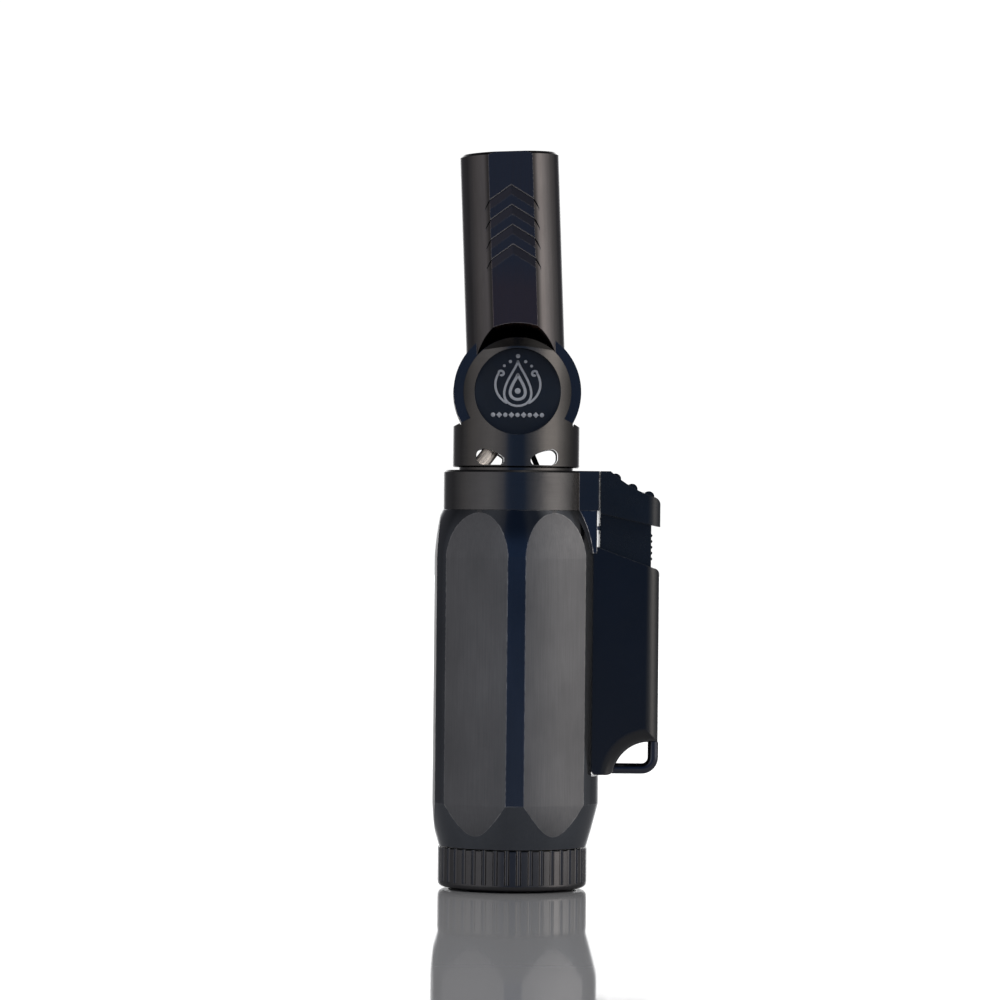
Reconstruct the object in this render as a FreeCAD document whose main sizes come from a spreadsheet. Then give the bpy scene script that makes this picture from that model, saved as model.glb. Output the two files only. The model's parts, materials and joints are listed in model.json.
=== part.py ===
"""Pocket butane torch: tilting burner head, thumb trigger with piezo, ring flame adjuster, refillable tank.

Frame: millimetres, +Z up, origin on the casing's axis at the flat foot. The trigger is on +X and the
badge faces -Y. Head parts are drawn about the tilt axis, upright, and placed leaning as they stand.
"""
import FreeCAD, Part
import math
import os
import re
import Sketcher
from FreeCAD import Placement, Rotation, Vector

DIMS = {
    # casing: a turned shell with long facets
    "casing_foot": 7.85,
    "casing_foot_radius": 13.65,
    "casing_foot_bend": 130.0,
    "casing_radius": 15.8,
    "casing_low_cone": 15.9,
    "casing_high_cone": 61.3,
    "casing_top": 69.8,
    "casing_top_radius": 13.5,
    "casing_top_bend": 22.4,
    "casing_bore": 12.2,
    "casing_upper_bore": 11.6,
    "casing_ledge": 58.0,
    "facet_radius": 14.87,
    "facet_axis_offset": 33.0,
    "facet_low": 15.9,
    "facet_high": 61.0,
    "facet_arch": 8.3,
    "facet_top_drop": 1.12,
    "facet_foot_drop": 1.02,
    "facet_bend": 45.0,
    "facet_count": 5,
    "facet_first_angle": 60,
    "facet_spread": 240,
    # spine and housing seat on the trigger's side
    "spine_half_width": 6.85,
    "spine_face": 14.9,
    "seat_face": 14.2,
    "seat_low": 21.0,
    "seat_high": 62.0,
    "lever_slot_half_width": 1.8,
    "lever_slot_low": 60.8,
    "lever_slot_high": 68.2,
    "lead_groove_depth": 1.15,
    "lead_groove_width": 1.4,
    "lead_side": 4.2,
    # collar under the yoke
    "collar_radius": 13.4,
    "collar_top": 77.1,
    "collar_bore": 10.65,
    "collar_flange_bore": 7.6,
    "collar_flange_top": 71.4,
    "collar_edge": 0.4,
    "collar_block_face": 15.2,
    "collar_set_screw_height": 74.4,
    # yoke
    "yoke_radius": 11.75,
    "yoke_foot": 77.6,
    "yoke_spigot_radius": 10.6,
    "yoke_bore": 9.0,
    "yoke_bore_top": 81.6,
    "pivot_height": 91.5,
    "ear_radius": 9.9,
    "ear_front_radius": 8.15,
    "ear_bevel_start": 9.85,
    "ear_gap_half": 5.75,
    "knuckle_pocket_radius": 12.05,
    "shoulder_inner_x": 8.6,
    "shoulder_inner_drop": 4.93,
    "shoulder_outer_x": 14.0,
    "shoulder_outer_drop": 7.45,
    "badge_radius": 7.85,
    "badge_recess_radius": 7.9,
    "badge_floor": 8.0,
    "badge_face": 8.6,
    # tilting head, about the pivot
    "head_lean": 2.34,
    "barrel_radius": 9.15,
    "barrel_panel": 8.2,
    "barrel_bore": 7.45,
    "barrel_bore_floor": 14.5,
    "barrel_length": 44.1,
    "barrel_lip": 0.5,
    "knuckle_radius": 11.75,
    "knuckle_half_width": 5.6,
    "hollow_half_width": 3.8,
    "hollow_radius": 10.3,
    "hollow_mouth_angle": 83,
    "scoop_start": 10.05,
    "scoop_slope": 1.0,
    "scoop_reach": 12.0,
    "chevron_count": 4,
    "chevron_apex": 38.0,
    "chevron_pitch": 3.63,
    "chevron_fall": 2.7,
    "chevron_ramp": 1.8,
    "chevron_depth": 0.35,
    # burner inside the barrel
    "holder_radius": 2.9,
    "tube_radius": 4.4,
    "flame_port": 2.2,
    "pilot_port": 0.55,
    "pilot_count": 8,
    "pilot_circle": 3.55,
    "flame_holder_low": 36.05,
    "flame_holder_high": 37.6,
    "sleeve_radius": 7.4,
    "sleeve_bore": 6.8,
    "electrode_offset": 5.7,
    "electrode_radius": 0.4,
    "insulator_radius": 1.0,
    "set_screw_height": 15.0,
    # pivot hardware
    "pivot_radius": 2.0,
    "running_gap": 0.05,
    "pivot_head_radius": 3.2,
    "pivot_head_inner": 6.7,
    "washer_radius": 4.0,
    "washer_recess_radius": 4.3,
    "washer_recess_floor": 5.1,
    # hose and ignition lead
    "hose_radius": 1.45,
    "hose_tail_radius": 1.25,
    "lead_radius": 0.5,
    "hose_lane": -1.0,
    "lead_lane": 2.2,
    # trigger
    "trigger_face": 15.45,
    "trigger_reach": 26.6,
    "trigger_half_width": 6.7,
    "trigger_round": 2.5,
    "stem_half_width": 5.35,
    "stem_reach": 24.9,
    "stem_foot": 54.0,
    "rib_radius": 0.3,
    "rib_count": 5,
    "rib_pitch": 1.07,
    "rib_low": 61.05,
    "nub_radius": 1.0,
    # housing cover and loop
    "housing_reach": 26.5,
    "housing_half_width": 6.83,
    "housing_wall": 1.15,
    "housing_foot": 21.3,
    "housing_floor": 28.6,
    "housing_round": 2.6,
    "housing_arch": 6.85,
    "housing_arch_x": 25.07,
    "housing_arch_z": 20.5,
    "loop_wire_radius": 0.98,
    "loop_reach": 25.85,
    "loop_height": 22.2,
    "loop_pin_radius": 0.5,
    # foot: base plate, adjuster ring and its gearing
    "plate_flange_radius": 11.6,
    "plate_flange": 1.5,
    "plate_hub_radius": 10.65,
    "plate_top": 3.1,
    "ring_radius": 13.75,
    "ring_foot": 0.3,
    "ring_top": 7.7,
    "ring_lip_radius": 10.73,
    "ring_lip_low": 1.65,
    "ring_lip_high": 3.0,
    "ring_recess_radius": 11.8,
    "ring_root_radius": 12.6,
    "ring_tip_radius": 11.55,
    "ring_edge": 0.9,
    "flute_count": 40,
    "flute_radius": 0.5,
    "gear_low": 3.4,
    "gear_high": 6.4,
    "ring_teeth": 48,
    "pinion_teeth": 12,
    "pinion_tip_radius": 3.4,
    "pinion_root_radius": 2.35,
    "tooth_tip_half": 0.15,
    "tooth_root_half": 0.5,
    "spindle_offset": 9.0,
    "spindle_radius": 1.0,
    # fuel tank
    "tank_radius": 12.1,
    "tank_wall": 1.3,
    "tank_foot": 8.0,
    "tank_floor": 1.6,
    "tank_top": 56.0,
    "boss_radius": 1.9,
    "base_screw_offset": 7.6,
    "collar_screw_offset": 9.1,
    "fill_offset": 5.0,
    # small screws, threads left plain
    "screw_radius": 0.95,
    "screw_hole": 1.0,
    # outlet valve and gas lever
    "valve_offset": -3.0,
    "barb_offset": -6.1,
    "block_top": 63.0,
    "lever_height": 66.6,
    "lever_thickness": 0.7,
    "lever_half_width": 1.5,
    "lever_reach": 17.6,
    "lever_pin_radius": 0.72,
    # piezo unit
    "piezo_x": 20.2,
    "piezo_foot": 30.0,
    "piezo_top": 48.8,
    "piezo_half": 3.6,
    "plunger_half": 2.4,
    "plunger_foot": 44.0,
}

doc = FreeCAD.newDocument("butane_torch")
sheet = doc.addObject("Spreadsheet::Sheet", "dims")
for row, (alias, number) in enumerate(DIMS.items(), start=1):
    sheet.set(f"A{row}", alias)
    sheet.set(f"B{row}", str(number))
    sheet.setAlias(f"B{row}", alias)
doc.recompute()

NODES = []
AXIS_TURNS = {
    "X": Rotation(Vector(0, 1, 0), 90),
    "Y": Rotation(Vector(1, 0, 0), -90),
    "Z": Rotation(),
}


# ---- formulas, solids and booleans -----------------------------------------------------------------

def formula(text):
    """Write a size formula with each alias led by the sheet's name."""
    return re.sub(r"[a-z_]+", lambda word: "dims." + word[0] if word[0] in DIMS else word[0], str(text))


def amount(text):
    """The number that a size formula gives now."""
    return float(sheet.evalExpression(formula(text)))


def bind(thing, prop, text):
    """Bind one property to the sheet."""
    thing.setExpression(prop, formula(text))


def place(thing, at, axis="Z"):
    """Put a thing at a point given by formulas, turned so that its own Z follows the named axis."""
    thing.Placement = Placement(Vector(), AXIS_TURNS[axis])
    for letter, text in zip("xyz", at):
        bind(thing, f"Placement.Base.{letter}", text)
    return thing


def cylinder(radius, length, at=(0, 0, 0), axis="Z"):
    """A round bar from a point along an axis."""
    solid = doc.addObject("Part::Cylinder", "round")
    bind(solid, "Radius", radius)
    bind(solid, "Height", length)
    return place(solid, at, axis)


def cone(radius_low, radius_high, length, at=(0, 0, 0), axis="Z"):
    """A tapered bar from a point along an axis."""
    solid = doc.addObject("Part::Cone", "taper")
    bind(solid, "Radius1", radius_low)
    bind(solid, "Radius2", radius_high)
    bind(solid, "Height", length)
    return place(solid, at, axis)


def ring(radius, section, at=(0, 0, 0), axis="Z"):
    """A seal ring of round section."""
    solid = doc.addObject("Part::Torus", "ring")
    bind(solid, "Radius1", radius)
    bind(solid, "Radius2", section)
    return place(solid, at, axis)


def block(low, high):
    """A box between two corners given by formulas."""
    solid = doc.addObject("Part::Box", "block")
    for prop, start, end in zip(("Length", "Width", "Height"), low, high):
        bind(solid, prop, f"({end}) - ({start})")
    return place(solid, low)


def fuse(*solids):
    """All the solids joined."""
    joined = doc.addObject("Part::MultiFuse", "joined")
    joined.Shapes = list(solids)
    return joined


def cut(base, *tools):
    """The base with every tool taken away."""
    left = doc.addObject("Part::Cut", "cut")
    left.Base = base
    left.Tool = tools[0] if len(tools) == 1 else fuse(*tools)
    return left


def group(*solids):
    """Separate solids kept together as one node."""
    kept = doc.addObject("Part::Compound", "set")
    kept.Links = list(solids)
    return kept


def node(label, thing, in_head=False):
    """Name a finished sub-part; head parts are set on the pivot with the head's lean."""
    thing.Label = label
    if in_head:
        thing.Placement = Placement(Vector(), Rotation(Vector(0, -1, 0), DIMS["head_lean"]))
        bind(thing, "Placement.Base.z", "pivot_height")
        bind(thing, "Placement.Rotation.Angle", "head_lean")
    NODES.append(thing)
    return thing


# ---- sketches and PartDesign features --------------------------------------------------------------

def fix_coordinate(sketch, side, point, letter, text):
    """Hold one coordinate of a sketch point at a formula's value, measured from the origin."""
    position = amount(text)
    if abs(position) < 1e-9:
        line = -2 if letter == "X" else -1
        sketch.addConstraint(Sketcher.Constraint("PointOnObject", side, point, line))
        return
    index = sketch.addConstraint(Sketcher.Constraint("Distance" + letter, -1, 1, side, point, position))
    bind(sketch, f"Constraints[{index}]", text)


def arc_between(start, end, radius):
    """The short arc between two points; a positive radius turns left on the way."""
    chord = end - start
    reach = math.sqrt(max(radius * radius - chord.Length ** 2 / 4, 0))
    left = Vector(-chord.y, chord.x, 0).normalize()
    centre = (start + end) * 0.5 + left * math.copysign(reach, radius)
    first, last = (start, end) if radius > 0 else (end, start)
    angles = [math.atan2(point.y - centre.y, point.x - centre.x) for point in (first, last)]
    if angles[1] < angles[0]:
        angles[1] += 2 * math.pi
    return Part.ArcOfCircle(Part.Circle(centre, Vector(0, 0, 1), abs(radius)), *angles)


def outline(sketch, corners):
    """Draw a closed outline. A corner is (x, y), or (x, y, radius) where an arc leaves it."""
    points = [Vector(amount(corner[0]), amount(corner[1]), 0) for corner in corners]
    sides = []
    for index, corner in enumerate(corners):
        start, end = points[index], points[(index + 1) % len(points)]
        if len(corner) == 2:
            sides.append((sketch.addGeometry(Part.LineSegment(start, end)), 1, 2))
            continue
        radius = amount(corner[2])
        geometry = sketch.addGeometry(arc_between(start, end, radius))
        ends = (1, 2) if radius > 0 else (2, 1)
        sides.append((geometry, *ends))
        held = sketch.addConstraint(Sketcher.Constraint("Radius", geometry, abs(radius)))
        bind(sketch, f"Constraints[{held}]", f"abs({corner[2]})")
    for index, (geometry, start, _) in enumerate(sides):
        previous, _, last = sides[index - 1]
        sketch.addConstraint(Sketcher.Constraint("Coincident", previous, last, geometry, start))
        fix_coordinate(sketch, geometry, start, "X", corners[index][0])
        fix_coordinate(sketch, geometry, start, "Y", corners[index][1])


def circle(sketch, x, y, radius):
    """Draw a full circle."""
    shape = Part.Circle(Vector(amount(x), amount(y), 0), Vector(0, 0, 1), amount(radius))
    geometry = sketch.addGeometry(shape)
    held = sketch.addConstraint(Sketcher.Constraint("Radius", geometry, amount(radius)))
    bind(sketch, f"Constraints[{held}]", radius)
    fix_coordinate(sketch, geometry, 3, "X", x)
    fix_coordinate(sketch, geometry, 3, "Y", y)


def sketch_on(body, role, offset=None):
    """A sketch on one of the body's own origin planes."""
    sketch = body.newObject("Sketcher::SketchObject", "sketch")
    plane = next(item for item in body.Origin.OriginFeatures if item.Role == role)
    sketch.AttachmentSupport = [(plane, "")]
    sketch.MapMode = "FlatFace"
    if offset is not None:
        sketch.AttachmentOffset = offset
    return sketch


def new_body():
    """An empty PartDesign body."""
    return doc.addObject("PartDesign::Body", "body")


def revolve(body, corners, kind="Revolution", offset=None):
    """Turn an outline drawn in the XZ plane about the Z axis, as material or as a groove."""
    sketch = sketch_on(body, "XZ_Plane", offset)
    outline(sketch, corners)
    feature = body.newObject("PartDesign::" + kind, "turned")
    feature.Profile = sketch
    feature.ReferenceAxis = (sketch, ["V_Axis"])
    feature.Angle = 360
    return feature


def extrude(body, role, draw, length, kind="Pad", lift=None):
    """Pad or pocket a drawing evenly about its plane; lift moves the plane along its normal."""
    offset = None if lift is None else Placement(Vector(0, 0, amount(lift)), Rotation())
    sketch = sketch_on(body, role, offset)
    if lift is not None:
        bind(sketch, "AttachmentOffset.Base.z", lift)
    draw(sketch)
    feature = body.newObject("PartDesign::" + kind, "extruded")
    feature.Profile = sketch
    feature.SideType = "Symmetric"
    bind(feature, "Length", length)
    return feature


def repeat(body, feature, count, angle=360):
    """Repeat a feature about the Z axis, spread over an angle."""
    pattern = body.newObject("PartDesign::PolarPattern", "pattern")
    pattern.Originals = [feature]
    axis = next(item for item in body.Origin.OriginFeatures if item.Role == "Z_Axis")
    pattern.Axis = (axis, [""])
    bind(pattern, "Angle", angle)
    bind(pattern, "Occurrences", count)
    body.Tip = pattern
    return pattern


def round_corners(body, reach, half, radius):
    """Round the two upright outer corners of a block that reaches along +X."""
    for side in (-1, 1):
        corner = [
            (reach, f"{side} * ({half} - {radius})", f"{side} * {radius}"),
            (f"{reach} - {radius}", f"{side} * ({half})"),
            (f"{reach} - {radius}", f"{side} * ({half} + 1)"),
            (f"{reach} + 1", f"{side} * ({half} + 1)"),
            (f"{reach} + 1", f"{side} * ({half} - {radius})"),
        ]
        extrude(body, "XY_Plane", lambda sketch: outline(sketch, corner), 200, "Pocket")


def turned(corners):
    """A body turned about Z from one outline."""
    body = new_body()
    revolve(body, corners)
    return body


# ---- runs of wire and hose -------------------------------------------------------------------------

def run(points, radius, bend=6.0):
    """A round wire or hose along a route: straight bars joined by elbows that leave them tangent."""
    places = [Vector(*(amount(text) for text in point)) for point in points]
    size = amount(radius)
    pieces = []
    start = places[0]
    for before, corner, after in zip(places, places[1:], places[2:]):
        inward = (corner - before).normalize()
        outward = (after - corner).normalize()
        turn = inward.getAngle(outward)
        shorter = min((corner - before).Length, (after - corner).Length)
        setback = min(bend * math.tan(turn / 2), 0.45 * shorter)
        enter = corner - inward * setback
        sideways = (outward - inward * math.cos(turn)).normalize()
        centre = enter + sideways * (setback / math.tan(turn / 2))
        section = Part.Face(Part.Wire([Part.Circle(enter, inward, size).toShape()]))
        pieces.append(Part.makeCylinder(size, (enter - start).Length, start, inward))
        pieces.append(section.revolve(centre, inward.cross(outward), math.degrees(turn)))
        start = corner + outward * setback
    last = places[-1] - start
    pieces.append(Part.makeCylinder(size, last.Length, start, last))
    feature = doc.addObject("Part::Feature", "run")
    feature.Shape = pieces[0].multiFuse(pieces[1:])
    return feature


def coil(radius, wire, turns, length, at):
    """A compression spring standing along Z."""
    pitch = (amount(length) - 2 * amount(wire)) / amount(turns)
    helix = Part.makeHelix(pitch, pitch * amount(turns), amount(radius))
    start = Vector(amount(radius), 0, 0)
    section = Part.Wire([Part.Circle(start, Vector(0, 1, 0), amount(wire)).toShape()])
    feature = doc.addObject("Part::Feature", "spring")
    feature.Shape = Part.Wire(helix).makePipeShell([section], True, True)
    foot = Vector(*(amount(text) for text in at))
    feature.Placement = Placement(foot + Vector(0, 0, amount(wire)), Rotation())
    return feature


# ---- casing and collar -----------------------------------------------------------------------------

def facet_cut(body):
    """One long facet: a shallow groove about an axis behind the casing, arched at both ends."""
    turn = Rotation(Vector(0, 1, 0), DIMS["facet_first_angle"])
    behind = turn.multVec(Vector(-DIMS["facet_axis_offset"], 0, 0))
    sketch = sketch_on(body, "XZ_Plane", Placement(behind, turn))
    reach = "facet_axis_offset + facet_radius"
    outline(sketch, [
        (f"{reach} + 6", "facet_low - facet_arch"),
        (f"{reach} + 6", "facet_high + facet_arch"),
        (f"{reach} - facet_top_drop", "facet_high + facet_arch", "-facet_bend"),
        (reach, "facet_high"),
        (reach, "facet_low", "-facet_bend"),
        (f"{reach} - facet_foot_drop", "facet_low - facet_arch"),
    ])
    groove = body.newObject("PartDesign::Groove", "facet")
    groove.Profile = sketch
    groove.ReferenceAxis = (sketch, ["V_Axis"])
    groove.Angle = 360
    return groove


def rectangle(low, high):
    """A drawing of a rectangle between two corners."""
    corners = [(low[0], low[1]), (high[0], low[1]), (high[0], high[1]), (low[0], high[1])]
    return lambda sketch: outline(sketch, corners)


def casing():
    """Faceted shell with the trigger's spine, the housing's seat, the lever slot and the lead's groove."""
    body = new_body()
    revolve(body, [
        (0, "casing_foot"),
        ("casing_foot_radius", "casing_foot", "casing_foot_bend"),
        ("casing_radius", "casing_low_cone"),
        ("casing_radius", "casing_high_cone", "casing_top_bend"),
        ("casing_top_radius", "casing_top"),
        (0, "casing_top"),
    ])
    repeat(body, facet_cut(body), "facet_count", "facet_spread")
    spine = rectangle((8, "seat_high - 6"), ("spine_face", "casing_top"))
    extrude(body, "XZ_Plane", spine, "2 * spine_half_width")
    seat = rectangle(("seat_face", "seat_low"), ("casing_radius + 2", "seat_high"))
    extrude(body, "XZ_Plane", seat, "2 * spine_half_width + 0.1", "Pocket")
    trimmed = rectangle(("spine_face", "seat_high"), ("casing_radius + 2", "casing_top + 1"))
    extrude(body, "XZ_Plane", trimmed, "2 * spine_half_width + 0.1", "Pocket")
    revolve(body, [
        (0, "casing_foot - 1"),
        ("casing_bore", "casing_foot - 1"),
        ("casing_bore", "casing_ledge"),
        ("casing_upper_bore", "casing_ledge"),
        ("casing_upper_bore", "casing_top + 1"),
        (0, "casing_top + 1"),
    ], "Groove")
    slot = rectangle((10, "lever_slot_low"), ("spine_face + 1", "lever_slot_high"))
    extrude(body, "XZ_Plane", slot, "2 * lever_slot_half_width", "Pocket")
    groove_x = "seat_face - lead_groove_depth"
    lead_groove = [
        (groove_x, 31),
        ("seat_face + 0.5", 31),
        ("seat_face + 0.5", "seat_high - 0.2"),
        (10.2, "seat_high - 0.2"),
        (10.2, "casing_ledge + 0.6"),
        (groove_x, "casing_ledge - 4.5"),
    ]
    extrude(body, "XZ_Plane", lambda sketch: outline(sketch, lead_groove), "lead_groove_width", "Pocket",
            "-lead_side")
    holes = []
    for side in (-1, 1):
        holes.append(cylinder("screw_hole", 6, (11, f"{side} * 3", 25.2), "X"))
        holes.append(cylinder(2.0, 2.45, (11, f"{side} * 3", 25.2), "X"))
    return cut(body, *holes)


def collar():
    """Ring that carries the yoke, with a square block on the trigger's side."""
    body = new_body()
    revolve(body, [
        (0, "casing_top"),
        ("collar_radius", "casing_top"),
        ("collar_radius", "collar_top - collar_edge"),
        ("collar_radius - collar_edge", "collar_top"),
        (0, "collar_top"),
    ])
    side_block = rectangle((8, "casing_top"), ("collar_block_face", "collar_top"))
    extrude(body, "XZ_Plane", side_block, "2 * spine_half_width")
    revolve(body, [
        (0, "casing_top - 1"),
        ("collar_flange_bore", "casing_top - 1"),
        ("collar_flange_bore", "collar_flange_top"),
        ("collar_bore", "collar_flange_top"),
        ("collar_bore", "collar_top + 1"),
        (0, "collar_top + 1"),
    ], "Groove")
    tools = [cylinder("screw_hole", 6, (0, 8.5, "collar_set_screw_height"), "Y")]
    for side in (-1, 1):
        spot = f"{side} * collar_screw_offset"
        tools.append(cylinder("screw_hole", 4, (0, spot, "casing_top - 1")))
        tools.append(cone(0.7, 1.55, 0.85, (0, spot, "collar_flange_top - 0.85")))
    return cut(body, *tools)


# ---- yoke ------------------------------------------------------------------------------------------

def ear_trim(sketch):
    """Everything beside and above the ears, which are round about the pivot and stand on shoulders."""
    outline(sketch, [
        ("-shoulder_outer_x", "pivot_height - shoulder_outer_drop"),
        ("-shoulder_inner_x", "pivot_height - shoulder_inner_drop", "-ear_radius"),
        (0, "pivot_height + ear_radius", "-ear_radius"),
        ("shoulder_inner_x", "pivot_height - shoulder_inner_drop"),
        ("shoulder_outer_x", "pivot_height - shoulder_outer_drop"),
        ("shoulder_outer_x", "pivot_height + 14"),
        ("-shoulder_outer_x", "pivot_height + 14"),
    ])


def knuckle_pocket(sketch):
    """The slot between the ears, round at the bottom to follow the knuckle."""
    outline(sketch, [
        ("-knuckle_pocket_radius", "pivot_height", "knuckle_pocket_radius"),
        (0, "pivot_height - knuckle_pocket_radius", "knuckle_pocket_radius"),
        ("knuckle_pocket_radius", "pivot_height"),
        ("knuckle_pocket_radius", "pivot_height + 14"),
        ("-knuckle_pocket_radius", "pivot_height + 14"),
    ])


def air_window(sketch, side):
    """A wing-shaped air window, high on the outside and narrow towards the middle."""
    outline(sketch, [
        (f"{side} * 2.45", "pivot_height - 12.2", f"{-side} * 7.3"),
        (f"{side} * 6.3", "pivot_height - 10.55", f"{-side} * 1.15"),
        (f"{side} * 7.45", "pivot_height - 11.6"),
        (f"{side} * 7.45", "pivot_height - 12.3", f"{-side} * 1.3"),
        (f"{side} * 6.0", "pivot_height - 13.45"),
        (f"{side} * 3.2", "pivot_height - 13.45", f"{-side} * 0.8"),
        (f"{side} * 2.45", "pivot_height - 12.6"),
    ])


def sunk_disc(body, side, radius, inner, outer):
    """A round pocket about the pivot, between two distances from the middle plane."""
    extrude(body, "XZ_Plane", lambda sketch: circle(sketch, 0, "pivot_height", radius),
            f"{outer} - {inner}", "Pocket", f"{side} * ({outer} + {inner}) / 2")


def ear_bevel(side):
    """Tapers the ear's rim from its full radius to the smaller front face."""
    length = "(yoke_radius - ear_bevel_start + 0.05)"
    start = "ear_bevel_start" if side > 0 else f"-ear_bevel_start - {length}"
    radii = ("ear_radius", "ear_front_radius") if side > 0 else ("ear_front_radius", "ear_radius")
    outer = cylinder(14, length, (0, start, "pivot_height"), "Y")
    inner = cone(*radii, length, (0, start, "pivot_height"), "Y")
    below = block((-15, -15, "pivot_height - 20"), (15, 15, "pivot_height - shoulder_inner_drop"))
    return cut(outer, inner, below)


def yoke():
    """Tube with two ears that carry the head, a spigot in the collar and four air windows."""
    body = new_body()
    revolve(body, [
        (0, "collar_flange_top"),
        ("yoke_spigot_radius", "collar_flange_top"),
        ("yoke_spigot_radius", "yoke_foot"),
        ("yoke_radius - 0.25", "yoke_foot"),
        ("yoke_radius", "yoke_foot + 0.25"),
        ("yoke_radius", "pivot_height + ear_radius + 1"),
        (0, "pivot_height + ear_radius + 1"),
    ])
    extrude(body, "XZ_Plane", ear_trim, "4 * yoke_radius", "Pocket")
    extrude(body, "XZ_Plane", knuckle_pocket, "2 * ear_gap_half", "Pocket")
    revolve(body, [
        (0, "collar_flange_top - 1"),
        ("yoke_bore", "collar_flange_top - 1"),
        ("yoke_bore", "yoke_bore_top"),
        (0, "yoke_bore_top"),
    ], "Groove")
    through = "(pivot_head_inner + 0.1)"
    for side in (-1, 1):
        extrude(body, "XZ_Plane", lambda sketch: air_window(sketch, side), "4 * yoke_radius", "Pocket")
        sunk_disc(body, side, "badge_recess_radius", "badge_floor", "(yoke_radius + 1)")
        sunk_disc(body, side, "pivot_head_radius + 0.15", "pivot_head_inner", "(badge_floor + 0.1)")
        sunk_disc(body, side, "pivot_radius + running_gap", "(ear_gap_half - 0.5)", through)
    set_screw = cylinder("screw_hole", 4, (0, 7, "collar_set_screw_height"), "Y")
    return cut(body, ear_bevel(-1), ear_bevel(1), set_screw)


def build_yoke():
    """Yoke, its badge plates and the pivot hardware."""
    node("yoke", yoke())
    for label, side in (("front_badge", -1), ("rear_badge", 1)):
        face = "badge_floor" if side > 0 else "-badge_face"
        node(label, cylinder("badge_radius", "badge_face - badge_floor", (0, face, "pivot_height"), "Y"))
    screws, washers = [], []
    for side in (-1, 1):
        head = "pivot_head_inner" if side > 0 else "-badge_floor + 0.05"
        shank = "hollow_half_width" if side > 0 else "-pivot_head_inner"
        washer = "washer_recess_floor + 0.03" if side > 0 else "-ear_gap_half"
        head_length = "badge_floor - pivot_head_inner - 0.05"
        shank_length = "pivot_head_inner - hollow_half_width"
        screws.append(fuse(
            cylinder("pivot_head_radius", head_length, (0, head, "pivot_height"), "Y"),
            cylinder("pivot_radius", shank_length, (0, shank, "pivot_height"), "Y"),
        ))
        thickness = "ear_gap_half - washer_recess_floor - 0.03"
        washers.append(cut(
            cylinder("washer_radius", thickness, (0, washer, "pivot_height"), "Y"),
            cylinder("pivot_radius + 0.02", 2, (0, f"{washer} - 0.5", "pivot_height"), "Y"),
        ))
    node("pivot_screws", group(*screws))
    node("friction_washers", group(*washers))


# ---- tilting head, drawn about the pivot -----------------------------------------------------------

def knuckle_hollow(sketch):
    """The knuckle's inside, open at the foot so that the hose and the lead can swing."""
    wide, deep = "sin(hollow_mouth_angle)", "cos(hollow_mouth_angle)"
    outline(sketch, [
        (f"-14 * {wide}", f"14 * {deep}"),
        (f"-hollow_radius * {wide}", f"hollow_radius * {deep}", "-hollow_radius"),
        (0, "hollow_radius", "-hollow_radius"),
        (f"hollow_radius * {wide}", f"hollow_radius * {deep}"),
        (f"14 * {wide}", f"14 * {deep}"),
        (14, -14),
        (-14, -14),
    ])


def scoop(side):
    """Cone about the tilt axis, cut away so that the barrel swings over an ear."""
    length = "(scoop_reach - knuckle_half_width)"
    radii = ["scoop_start", f"scoop_start + scoop_slope * {length}"]
    if side > 0:
        return cone(*radii, length, (0, "knuckle_half_width", 0), "Y")
    return cone(*reversed(radii), length, (0, "-scoop_reach", 0), "Y")


def chevron_arm(apex, side):
    """One arm of a saw-tooth step: deepest along its top edge, curling down past the panel's edge."""
    ramp, depth = amount("chevron_ramp"), amount("chevron_depth")
    half_panel = amount("sqrt(barrel_radius^2 - barrel_panel^2)")
    sections = []
    for share, droop, strength in ((0, 0, 1), (0.5, 0, 1), (1, 0, 1), (1.1, 0.3, 0.8), (1.22, 1.1, 0.3)):
        x = share * half_panel
        surface = min(amount("barrel_panel"), math.sqrt(amount("barrel_radius") ** 2 - x ** 2))
        top = apex - share * amount("chevron_fall") - droop
        profile = [
            (surface + 0.5, top),
            (surface - depth * strength, top),
            (surface - 0.01, top - ramp * strength),
            (surface + 0.5, top - ramp * strength),
        ]
        corners = [Vector(side * x, -reach, level) for reach, level in profile]
        sections.append(Part.makePolygon(corners + corners[:1]))
    feature = doc.addObject("Part::Feature", "chevron")
    feature.Shape = Part.makeLoft(sections, True, True)
    return feature


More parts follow.
